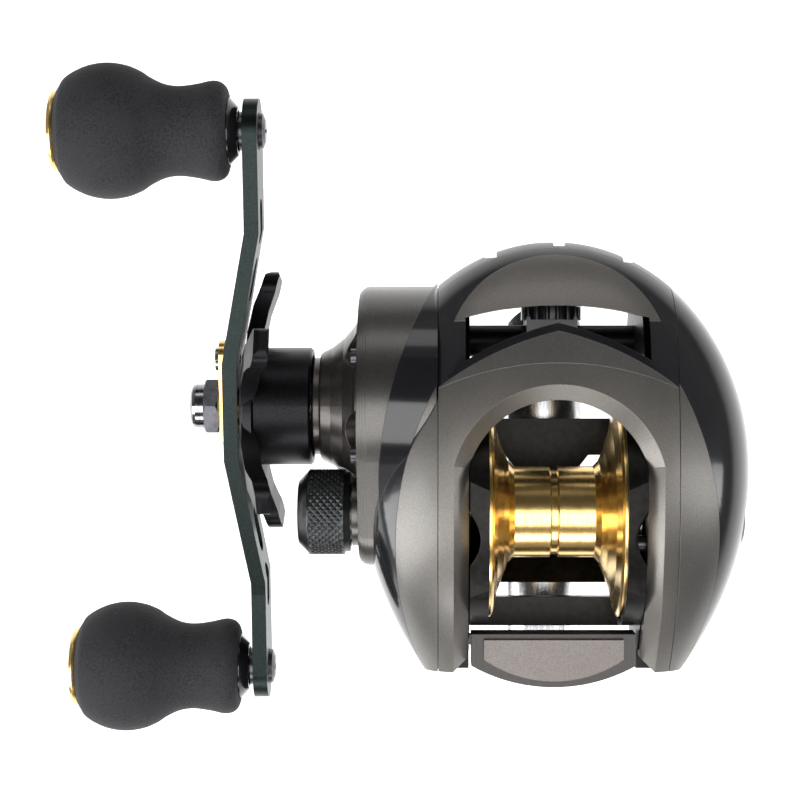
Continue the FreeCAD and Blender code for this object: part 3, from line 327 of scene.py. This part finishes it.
def knob_grip(end):
    """Foam grip as a fine lathe with soft edges, standing for the CAD grip."""
    node = "knob_grip_" + end
    low, high = corners(node)
    joint = joint_point(end + "_knob_spin")
    radius = (high.z - low.z) / 2
    bore = 3.45 * MM
    sphere_x = high.x - 19.15 * MM
    flare = ((0.0, 6.2), (0.35, 7.1), (1.2, 7.8), (2.6, 8.0), (5.0, 7.5), (7.8, 7.17), (10.2, 7.5))
    outside = []
    for back, out in flare:
        outside.append((high.x - back * MM, out * MM))
    for degrees in (52, 62, 75, 90, 105, 118, 128):
        angle = math.radians(degrees)
        outside.append((sphere_x + radius * math.cos(angle), radius * math.sin(angle)))
    outside += [(low.x + 0.5 * MM, 7.7 * MM), (low.x, 6.9 * MM)]
    profile = smooth_path(outside, 6) + [(low.x, bore), (high.x, bore)]
    grip = lathe("foam_grip_" + end, profile, joint, 160)
    dress(grip, LOOKS["foam"])
    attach(grip, "knob_" + end)
    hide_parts(node)


def knurl_column(low, high, angle):
    """The knob's outline at one angle, as (x, radius): end, knurl, ring and hollow back."""
    radius = (high.z - low.z) / 2
    knurl_start = low.x + 1.75 * MM
    knurl_end = high.x - 0.95 * MM
    depth = 0.3 * MM
    rows = 56
    teeth = 36
    recess = 2.0 * MM
    rim = 6.5 * MM
    wall = 5.72 * MM
    bore = 4.58 * MM
    floor_x = low.x + 8.1 * MM
    column = [(low.x + recess, recess), (low.x + 0.15 * MM, recess), (low.x + 0.15 * MM, 4.6 * MM),
              (low.x, 4.8 * MM), (low.x + 0.05 * MM, 5.1 * MM), (low.x + 1.25 * MM, 6.35 * MM),
              (low.x + 1.5 * MM, 6.6 * MM)]
    for row in range(rows + 1):
        share = row / rows
        x = knurl_start + (knurl_end - knurl_start) * share
        lead = (x - knurl_start) / (0.9 * radius)
        first = abs(math.sin(teeth / 2 * (angle + lead)))
        second = abs(math.sin(teeth / 2 * (angle - lead)))
        edge = min(1.0, 10 * share, 10 * (1 - share))
        column.append((x, radius - depth * edge * (1 - min(first, second)) ** 1.6))
    return column + [(knurl_end + 0.12 * MM, rim), (high.x - 0.15 * MM, rim), (high.x, 6.3 * MM),
                     (high.x, wall), (floor_x, wall), (floor_x, bore), (low.x + recess, bore)]


def knurled_knob():
    """Tension knob with a diamond knurl between a chamfered end and a smooth ring."""
    low, high = corners("tension_knob")
    around = 288
    data = bmesh.new()
    columns = []
    for step in range(around):
        angle = 2 * math.pi * step / around
        column = []
        for x, radius in knurl_column(low, high, angle):
            column.append(data.verts.new((x, SPOOL.y + radius * math.cos(angle),
                                          SPOOL.z + radius * math.sin(angle))))
        columns.append(column)
    for step in range(around):
        here = columns[step]
        there = columns[(step + 1) % around]
        for row in range(len(here) - 1):
            data.faces.new((here[row], here[row + 1], there[row + 1], there[row]))
        data.faces.new((here[-1], here[0], there[0], there[-1]))
    bmesh.ops.recalc_face_normals(data, faces=data.faces)
    knob = new_object("knurled_tension_knob", data)
    dress(knob, CLOSER["tension_knob"])
    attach(knob, "tension")
    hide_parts("tension_knob")


# ---- studio -------------------------------------------------------------------------------
def area_light(name, place, aim, size, power):
    """Rectangular light at place, turned towards aim."""
    data = bpy.data.lights.new(name, "AREA")
    data.shape = "RECTANGLE"
    data.size, data.size_y = size
    data.energy = power
    lamp = bpy.data.objects.new(name, data)
    lamp.location = place
    lamp.rotation_euler = (Vector(aim) - Vector(place)).to_track_quat("-Z", "Y").to_euler()
    bpy.context.scene.collection.objects.link(lamp)


def cove():
    """Round paper floor that curves up into a wall, so no edge shows from any side."""
    reach = 1.6
    curve = 0.5
    wall = 2.2
    around = 96
    rings = [(0.3 * reach, 0.0), (reach, 0.0)]
    for step in range(1, 9):
        turn = math.pi / 2 * step / 8
        rings.append((reach + curve * math.sin(turn), curve * (1 - math.cos(turn))))
    rings.append((reach + curve, wall))
    data = bmesh.new()
    loops = []
    for out, rise in rings:
        loop = []
        for index in range(around):
            angle = 2 * math.pi * index / around
            loop.append(data.verts.new((out * math.cos(angle), out * math.sin(angle), FLOOR + rise)))
        loops.append(loop)
    data.faces.new(loops[0])
    for here, there in zip(loops, loops[1:]):
        for index in range(around):
            after = (index + 1) % around
            data.faces.new((here[index], here[after], there[after], there[index]))
    bmesh.ops.recalc_face_normals(data, faces=data.faces)
    return new_object("floor", data)


def studio():
    """Glowing white paper that fades outwards, five light boxes and a dim grey world."""
    middle = Vector((-0.025, 0.005, 0.02))
    paper = Paint("white_paper")
    fibres = paper.noise(300.0)
    paper.link(paper.ramp(fibres, [(0.3, (0.86, 0.86, 0.86)), (0.7, (0.9, 0.9, 0.9))]),
               paper.shader.inputs["Base Color"])
    paper.set(Roughness=0.9, Emission_Color=(1, 1, 1, 1))
    shrink = paper.add("ShaderNodeMapping")
    shrink.inputs["Scale"].default_value = (1 / GLOW_REACH,) * 3
    paper.link(paper.place, shrink.inputs["Vector"])
    glow = paper.add("ShaderNodeTexGradient", gradient_type="SPHERICAL")
    paper.link(shrink.outputs["Vector"], glow.inputs["Vector"])
    paper.link(paper.spread(glow.outputs["Fac"], 0.03, 0.68), paper.shader.inputs["Emission Strength"])
    floor = cove()
    dress(floor, paper.material)
    area_light("overhead_box", (-0.03, -0.14, 0.6), middle, (0.55, 0.4), 2.6)
    area_light("left_box", (-0.5, -0.2, 0.25), middle, (0.3, 0.6), 3.2)
    area_light("right_box", (0.5, -0.05, 0.32), middle, (0.12, 0.5), 1.0)
    area_light("rear_box", (-0.05, -0.6, 0.3), middle, (0.6, 0.2), 2.2)
    area_light("front_box", (0.0, 0.6, 0.3), middle, (0.6, 0.2), 0.5)
    world = bpy.data.worlds.new("studio")
    world.use_nodes = True
    world.node_tree.nodes["Background"].inputs["Color"].default_value = (1, 1, 1, 1)
    world.node_tree.nodes["Background"].inputs["Strength"].default_value = 0.06
    bpy.context.scene.world = world
    bpy.context.scene.view_settings.view_transform = "Standard"


def camera():
    """Straight above the reel, its frame shifted a little towards the handle."""
    height = 314 * MM
    width_seen = 132 * MM
    sideways = -18.1 * MM
    forwards = 13.7 * MM
    frame_shift = -6.9 * MM
    data = bpy.data.cameras.new("camera")
    data.sensor_width = 36
    data.lens = data.sensor_width * height / width_seen
    data.shift_x = frame_shift / width_seen
    cam = bpy.data.objects.new("camera", data)
    cam.location = (DRIVE.x + sideways, forwards, DRIVE.z + height)
    bpy.context.scene.collection.objects.link(cam)
    bpy.context.scene.camera = cam


# ---- gaskets ------------------------------------------------------------------------------
SEAM_X = 18.65 * MM
# (inset from the outline, shift away from the middle), in millimetres
GASKET_SECTION = ((0.4, 0.01), (1.2, 0.01), (1.2, 0.09), (0.4, 0.09))


def seam_gasket(side):
    """Thin dark ring that closes the see-through seam between a side plate and the middle."""
    seam = side * SEAM_X
    points = []
    for name in ("top_cover", "nose_panel", "hood", "front_lip", "frame_body"):
        for vertex in nodes[name].data.vertices:
            place = nodes[name].matrix_world @ vertex.co
            if abs(place.x - seam) < 0.01 * MM:
                points.append((place.y, place.z))
    hull = [Vector(points[index]) for index in convex_hull_2d(points)]
    middle = sum(hull, Vector((0, 0))) / len(hull)
    data = bmesh.new()
    loops = []
    for inset, shift in GASKET_SECTION:
        loop = []
        for point in hull:
            inward = (middle - point).normalized() * inset * MM
            loop.append(data.verts.new((seam + side * shift * MM, *(point + inward))))
        loops.append(loop)
    for here, there in zip(loops, loops[1:] + loops[:1]):
        for index in range(len(hull)):
            after = (index + 1) % len(hull)
            data.faces.new((here[index], here[after], there[after], there[index]))
    bmesh.ops.recalc_face_normals(data, faces=data.faces)
    gasket = new_object("seam_gasket_" + ("palm" if side > 0 else "gear"), data)
    dress(gasket, LOOKS["graphite_plastic"])
    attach(gasket, "frame")


# ---- the whole scene ------------------------------------------------------------------------
dress_nodes()
for side in (-1, 1):
    seam_gasket(side)
for end in ("front", "rear"):
    knob_grip(end)
knurled_knob()
studio()
camera()
